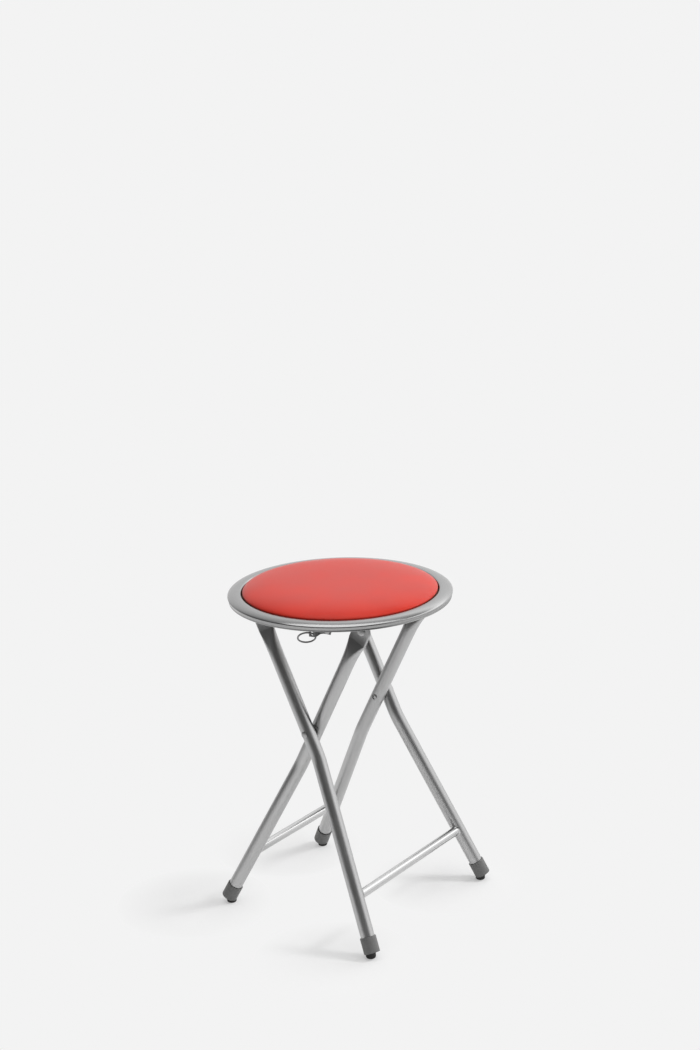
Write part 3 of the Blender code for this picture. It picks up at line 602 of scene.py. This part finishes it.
# %% [markdown]
# ## Stretchers
# A round bar joins the two legs of each frame near the floor. It is cut to the tube's curve and welded.
# A boolean cut would leave ragged faces. So for each direction round the bar, the distance along it at
# which it meets the tube comes from a quadratic, which makes a clean saddle. A small fillet of weld
# follows the same saddle.

# %% Stretchers with their welds
STRETCHER_R, WELD, WELD_GAP = 0.00635, 0.0016, GAP * 0.3
STRETCHER_Z = {"inner": 0.0797, "outer": 0.0750}


def saddle(at, way, low, radius, reach, sides):
    """Where lines at 'radius' round a bar meet a tube of radius 'reach'.

    Solve |s*way + w| = reach for s, with both vectors flattened along the tube's own way, low.
    """
    first = unit(np.cross(way, low))
    second = np.cross(way, first)
    angle = np.linspace(0, 2 * np.pi, sides, endpoint=False)
    rim = np.cos(angle)[:, None] * first + np.sin(angle)[:, None] * second
    w = radius[:, None, None] * rim
    d, e = way - (way @ low) * low, w - (w @ low)[..., None] * low
    a, b, c = d @ d, e @ d, (e * e).sum(-1) - reach[:, None] ** 2
    s = (-b + np.sqrt(b * b - a * c)) / a
    return at + s[..., None] * way + w


def bar_points(near, far, z, sides=40):
    """Weld fillet, bar and weld fillet: r = R + F(1 - sin q) while the tube is F(1 - cos q) away."""
    ends = [leg["end"] + leg["low"] * ((z - leg["end"][2]) / leg["low"][2]) for leg in (near, far)]
    way = unit(ends[1] - ends[0])
    q = np.radians(np.linspace(0, 90, 8))
    radius = STRETCHER_R + WELD * (1 - np.sin(q))
    reach = TUBE_R + WELD_GAP + WELD * (1 - np.cos(q))
    one = saddle(ends[0], way, near["low"], radius, reach, sides)
    two = saddle(ends[1], -way, far["low"], radius, reach, sides)
    two = np.roll(two[:, ::-1], 1, axis=1)[::-1]
    apart = two[0] - one[-1][0]
    start = np.argmin(np.linalg.norm(apart - way * (apart @ way)[:, None], axis=1))
    two = np.roll(two, -start, axis=1)
    poles = [np.repeat(row.mean(0)[None], sides, 0)[None] for row in (one[0], two[-1])]
    return np.concatenate([poles[0], one, two, poles[1]])


for name, z in STRETCHER_Z.items():
    bar = skin(f"{name}_bar", bar_points(LEGS[f"{name}_leg_near"], LEGS[f"{name}_leg_far"], z))
    settle(bar, f"{name}_stretcher", BODY_OF[name], "silver_paint", 30, BAR_SILVER)

# %% [markdown]
# ## Feet
# A grey plastic sleeve is pushed over each tube's end, and a black glide stands out below it to meet
# the floor flat. The sleeve is a turned cup. The glide is upright, while the sleeve leans, so a plain
# cylinder would leave a wedge open. The glide's top row is moved onto the plane of the sleeve's end.

# %% Sleeves and glides
CAP_WALL, CAP_L, CAP_END_T, CAP_EDGE = 0.0011, 0.0220, 0.0030, 0.0009
GLIDE_R, GLIDE_FLAT_R, GLIDE_OFF = 0.0068, 0.0042, 0.0041
SLEEVE = TUBE_R + GAP
CAP_R = SLEEVE + CAP_WALL
cup = eased([(0, 0), (CAP_R, 0), (CAP_R, CAP_L), (SLEEVE, CAP_L), (SLEEVE, CAP_END_T), (0, CAP_END_T)],
            CAP_EDGE)


def glide_points(leg, sides=40):
    """Round-edged upright button whose top row lies on the plane of the sleeve's end, a gap below it."""
    low, end = leg["low"], leg["end"] - leg["low"] * GAP
    under = end + unit(low * low[2] - (0, 0, 1)) * GLIDE_OFF
    drop = GLIDE_R - GLIDE_FLAT_R
    edge = circle((GLIDE_FLAT_R, drop), drop, -90, 0, 10)
    line = np.concatenate([[(0, 0)], edge, [(GLIDE_R, 0), (0, 0)]])
    body = turned(line, sides, (under[0], under[1], 0), (0, 0, 1))
    body[-2:, :, 2] = end[2] - ((body[-2:, :, :2] - end[:2]) @ low[:2]) / low[2]
    return body


for name, leg in LEGS.items():
    frame_word, _, word = name.split("_")
    sleeve = skin(f"{frame_word}_sleeve_{word}", turned(cup, 56, leg["end"], leg["low"]))
    settle(sleeve, f"{frame_word}_cap_{word}", BODY_OF[frame_word], "grey_plastic")
    glide = skin(f"{frame_word}_foot_{word}", glide_points(leg))
    settle(glide, f"{frame_word}_glide_{word}", BODY_OF[frame_word], "black_rubber")

# %% [markdown]
# ## Rivets, washers and pins
# Turned parts all share one recipe: a line of corners and arcs, turned about its axis. It beats stacked
# cylinders, which would leave faces inside. The rivets are hollow at the inner end, where the tube of
# the rivet was rolled over, and the wall of the hollow is marked for the painted shade in the finish.

# %% Rivets, washers and rod
HEAD_H, DIMPLE, DIMPLE_DEEP, DEEPEST_SHARE, MOUTH = 0.0015, 0.78, 0.0140, 0.6, 0.0004
PIVOT_PIN_R, PIVOT_HEAD_R, PIVOT_HEAD_H = 0.0036, 0.0046, 0.0008
HINGE_PIN_R, HINGE_HEAD_R, CLINCH, EAR_T = 0.0032, 0.0062, 0.85, 0.0020
WASHER_HOLE_R, WASHER_R, WASHER_EASE = 0.0039, 0.0080, 0.0003
ROD_R, ROD_HEAD_R = 0.0040, 0.0064


def pin_line(length, pin_r, low_r, high_r, hollow=True, tall=HEAD_H):
    """Clinched or domed low end, pin and low domed head, as (radius, height) from below upwards."""
    bore = pin_r * DIMPLE
    if hollow:
        lip = circle((0, 0), (low_r - bore, -tall), 0, 150, 12) + (bore, 0)
        lip[:, 0] = np.maximum(lip[:, 0], bore)
        deep = min(DIMPLE_DEEP, length * DEEPEST_SHARE)
        low = np.concatenate([[(0, deep), (bore, deep), (bore, MOUTH)], lip[::-1]])
    else:
        low = circle((0, 0), (low_r, -tall), 0, 90, 12)[::-1]
    high = circle((0, length), (high_r, tall), 0, 90, 12)
    return np.concatenate([low, [(pin_r, 0), (pin_r, length)], high])


def pin(name, node, body, start, way, line, slot="zinc_steel"):
    """A turned piece from its start along its axis; a hollow end's wall is marked for painted shade."""
    made = skin(name, turned(line, 32, start, way))
    spot = points_of(made.data) - np.asarray(start, float)
    along = spot @ unit(way)
    off = np.linalg.norm(spot - along[:, None] * unit(way), axis=1)
    inside = (off < line[1][0] * 1.02) & (along > MOUTH * 0.9) & (along < line[0][1] + 1e-5)
    mark = made.data.attributes.new("hollow", "FLOAT", "POINT")
    mark.data.foreach_set("value", inside.astype(np.float32))
    return settle(made, node, body, slot)


grip_in, grip_out = INNER_Y - TUBE_R - GAP, OUTER_Y + TUBE_R + GAP
ear_in, ear_out = INNER_Y - FLAT_T / 2 - EAR_T - 2 * GAP, INNER_Y + FLAT_T / 2 + GAP
washer = eased([(WASHER_HOLE_R, WASHER_T / 2), (WASHER_HOLE_R, 0), (WASHER_R, 0), (WASHER_R, WASHER_T),
                (WASHER_HOLE_R, WASHER_T), (WASHER_HOLE_R, WASHER_T / 2)], WASHER_EASE)[:-1]
for word, side in SIDES.items():
    outward = np.array([0, side, 0])
    pin(f"pivot_pin_{word}", f"pivot_rivet_{word}", "inner_frame", PIVOT + outward * grip_in, outward,
        pin_line(grip_out - grip_in, PIVOT_PIN_R, PIVOT_HEAD_R, PIVOT_HEAD_R, tall=PIVOT_HEAD_H))
    pin(f"hinge_pin_{word}", f"hinge_rivet_{word}", "seat", (HINGE_X, side * ear_in, TOP_Z), outward,
        pin_line(ear_out - ear_in, HINGE_PIN_R, HINGE_HEAD_R * CLINCH, HINGE_HEAD_R))
    seat_of_washer = PIVOT + outward * (INNER_Y + TUBE_R + GAP)
    disc = skin(f"spacer_{word}", turned(washer, 40, seat_of_washer, outward), ring=True)
    settle(disc, f"pivot_washer_{word}", "inner_frame", "grey_plastic")
rod_end = OUTER_Y + FLAT_T / 2 + GAP
pin("cross_rod", "top_rod", "outer_frame", (ROD_X, -rod_end, TOP_Z), (0, 1, 0),
    pin_line(2 * rod_end, ROD_R, ROD_HEAD_R, ROD_HEAD_R, False))

# %% [markdown]
# ## Catch and its ring
# The catch's shaft is a turned pin. The ring is round wire: a circle of wire carried round a larger
# circle, through the hole in the lever's lip. Turning it about its own axis gives that shape at once,
# with no curve object to convert.

# %% Shaft and ring
CATCH_X, CATCH_Z, EYE = 0.057401, 0.4345, np.array([0.038801, -0.117343, 0.430452])
SHAFT_R, SHAFT_HEAD_R = 0.0025, 0.0041
RING_R, WIRE_R, RING_SLANT, RING_TURN = 0.0116, 0.0011, math.radians(38.0), math.radians(37.0)
low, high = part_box("catch_shaft")
pin("catch_pin", "catch_shaft", "catch", (CATCH_X, low.y + HEAD_H, CATCH_Z), (0, 1, 0),
    pin_line(high.y - low.y - 2 * HEAD_H, SHAFT_R, SHAFT_HEAD_R, SHAFT_HEAD_R, False))
hang = np.array([-math.cos(RING_SLANT), 0, -math.sin(RING_SLANT)])
tangent = spun(np.array([0, -1.0, 0]), hang, np.array([RING_TURN]))[0]
wire = circle((RING_R, 0), WIRE_R, 0, 360, 17)[:-1]
ring = skin("wire_ring", turned(wire, 96, EYE + hang * RING_R, np.cross(tangent, hang)), ring=True)
settle(ring, "pull_ring", "ring", "zinc_steel", coat=DULL)

# %% [markdown]
# ## Nodes that stay
# The board, brackets, lever, hook and screws have the right shape already. Making them again would add
# nothing, so they keep their solids and take a finish.

# %% Finishes for the nodes that stay
STAYS = {"seat_board": WOOD, "catch_lever": DULL, "catch_hook": DULL}
for node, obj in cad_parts.items():
    if obj.hide_render:
        continue
    obj.data.materials.clear()
    obj.data.materials.append(STAYS.get(node, ZINC))
    print("kept", node)

# %% [markdown]
# ## Floor
# The photograph has an even pale ground with faint shadows to the left of the feet. The floor is a round
# matt disc, and its colour darkens outwards as painted shade, as the metal in the photograph mirrors a
# darker floor in front. For the camera it is blended into one even tone away from the feet, so the shadows
# stay there and the ground has no edge. Metal and glass see part of that even tone as well.

# %% Floor
PALE = 0.896
FLOOR_R, FLOOR_SIDES, FLOOR_MIDDLE = 1.5, 96, np.array([-0.45, 0, 0])
# the floor's tone near its middle, and its darker edge tone, which is painted shade
TONE_NEAR, SHADED_EDGE_TONE, TONE_FOR_CAMERA, FALL_FROM = 0.97, 0.40, 0.90, 0.6
SHADE_OFF, SHADE_IN, SHADE_OUT, SHADE_LEAST = 0.05, 0.03, 0.11, 0.25
MIRROR_SHARE, MIRROR_IN = 0.3, 0.3


def maths(tree, operation, first, second):
    """One step of arithmetic on two levels."""
    return add(tree, "ShaderNodeMath", {0: first, 1: second}, operation=operation).outputs["Value"]


def measure(tree, operation, first, second):
    """One number from two vectors, such as their distance."""
    return add(tree, "ShaderNodeVectorMath", {0: first, 1: second}, operation=operation).outputs["Value"]


def backdrop_rays(tree, part):
    """Camera rays, and how far a ray shows the plain backdrop: camera rays fully, metal and glass by part."""
    rays = add(tree, "ShaderNodeLightPath").outputs
    mirrored = maths(tree, "MAXIMUM", rays["Is Glossy Ray"], rays["Is Transmission Ray"])
    partly = maths(tree, "MULTIPLY", mirrored, part)
    return rays["Is Camera Ray"], maths(tree, "MAXIMUM", rays["Is Camera Ray"], partly)


floor_mesh = bpy.data.meshes.new("floor")
floor_edge = circle(FLOOR_MIDDLE[:2], FLOOR_R, 0, 360, FLOOR_SIDES + 1)[:-1]
floor_points = np.column_stack([floor_edge, np.zeros(FLOOR_SIDES)])
floor_mesh.from_pydata(floor_points.tolist(), [], [range(FLOOR_SIDES)])
floor = bpy.data.objects.new("floor", floor_mesh)
scene.collection.objects.link(floor)
ground = bpy.data.materials.new("pale_floor")
ground.use_nodes = True
tree = ground.node_tree
tree.nodes.remove(tree.nodes["Principled BSDF"])
place = add(tree, "ShaderNodeTexCoord").outputs["Object"]
shade_way = np.array([-math.cos(AZIMUTH), -math.sin(AZIMUTH), 0])
nearest = FLOOR_R
for leg in LEGS.values():
    shade = leg["end"] * (1, 1, 0) + shade_way * SHADE_OFF
    nearest = maths(tree, "MINIMUM", measure(tree, "DISTANCE", place, shade), nearest)
even = between(tree, nearest, SHADE_IN, SHADE_OUT, SHADE_LEAST, 1.0)
off_middle = measure(tree, "DISTANCE", place, FLOOR_MIDDLE)
mirror_part = between(tree, off_middle, MIRROR_IN, FALL_FROM, MIRROR_SHARE, 0.0)
camera_ray, shows = backdrop_rays(tree, mirror_part)
# painted shade: the floor's matt colour darkens outwards, so metal mirrors a darker floor in front
tone = between(tree, off_middle, FALL_FROM, FLOOR_R, TONE_NEAR, SHADED_EDGE_TONE)
tone = blend_level(tree, camera_ray, tone, TONE_FOR_CAMERA)
matt = add(tree, "ShaderNodeBsdfDiffuse", {"Color": tone}).outputs[0]
flat_tone = add(tree, "ShaderNodeEmission", {"Color": (PALE, PALE, PALE, 1), "Strength": 1.0}).outputs[0]
surface = add(tree, "ShaderNodeMixShader", {0: maths(tree, "MULTIPLY", even, shows), 1: matt, 2: flat_tone})
tree.links.new(surface.outputs[0], tree.nodes["Material Output"].inputs["Surface"])
floor_mesh.materials.append(ground)
print("floor", 2 * FLOOR_R, "m across, shadows kept round", len(LEGS), "feet")

# %% [markdown]
# ## Surroundings
# Metal shows what stands round it. In the photograph that is a pale backdrop behind the stool, a bright
# window side at the right, and a dim room behind the camera. The world is a level that changes with the
# direction, which is easier to place than many cards. The camera itself sees an even pale tone.

# %% Surroundings
WINDOW_TURN, WINDOW_LOW, WINDOW_HIGH = math.radians(60), 1.15, 2.5
DIM_LOW, DIM_HIGH = 0.08, 0.34
world = bpy.data.worlds.new("studio")
scene.world = world
world.use_nodes = True
tree = world.node_tree
way = add(tree, "ShaderNodeTexCoord").outputs["Generated"]
height = add(tree, "ShaderNodeSeparateXYZ", {"Vector": way}).outputs["Z"]
facing = measure(tree, "DOT_PRODUCT", way, (-math.sin(AZIMUTH), math.cos(AZIMUTH), 0))
beside = measure(tree, "DOT_PRODUCT", way, (math.cos(WINDOW_TURN), math.sin(WINDOW_TURN), 0.0))
window = maths(tree, "MULTIPLY", between(tree, beside, 0.20, 0.80, 0.0, 1.0),
               between(tree, height, 0.56, 0.72, 1.0, 0.0))
bright = between(tree, height, 0.32, 0.52, WINDOW_LOW, WINDOW_HIGH)
dim = between(tree, height, 0.3, 0.9, DIM_LOW, DIM_HIGH)
behind = between(tree, facing, 0.25, 0.92, 0.0, 1.0)
level = blend_level(tree, window, blend_level(tree, behind, dim, PALE), bright)
straight = between(tree, facing, 0.80, 1.0, 0.0, 1.0)
shows = backdrop_rays(tree, between(tree, window, 0.0, 1.0, straight, 0.0))[1]
studio = tree.nodes["Background"]
tree.links.new(level, studio.inputs["Color"])
plain = add(tree, "ShaderNodeBackground", {"Color": (PALE, PALE, PALE, 1)})
seen = add(tree, "ShaderNodeMixShader", {0: shows, 1: studio.outputs[0], 2: plain.outputs[0]})
tree.links.new(seen.outputs[0], tree.nodes["World Output"].inputs["Surface"])
print("surroundings", PALE, "behind,", WINDOW_LOW, "to", WINDOW_HIGH, "at the window,", DIM_LOW, "in the dim")

# %% [markdown]
# ## Lamps
# Two lamps light the stool. A small key lamp at the back right draws the shadows of the feet to the left,
# and it is kept out of reflections, where the window already stands for it. A wide lamp above fills the
# pad and the floor with soft light. A sun would give shadows with hard edges.

# %% Lamps


def lamp(name, place, aim, size, watts):
    """A square soft lamp that looks at a point."""
    data = bpy.data.lights.new(name, "AREA")
    data.shape, data.size, data.energy = "SQUARE", size, watts
    obj = bpy.data.objects.new(name, data)
    look = Vector(aim) - Vector(place)
    turn = look.to_track_quat("-Z", "Y").to_matrix().to_4x4()
    obj.matrix_world = Matrix.Translation(place) @ turn
    scene.collection.objects.link(obj)
    print(name, watts, "W at", round(look.length, 2), "m")
    return obj


key = lamp("key", (1.45, 1.05, 2.1), (0, 0, 0.3), 0.45, 19)
key.visible_glossy = False
lamp("top", (0.25, -0.35, 2.4), (0.25, -0.35, 0.3), 2.5, 30)
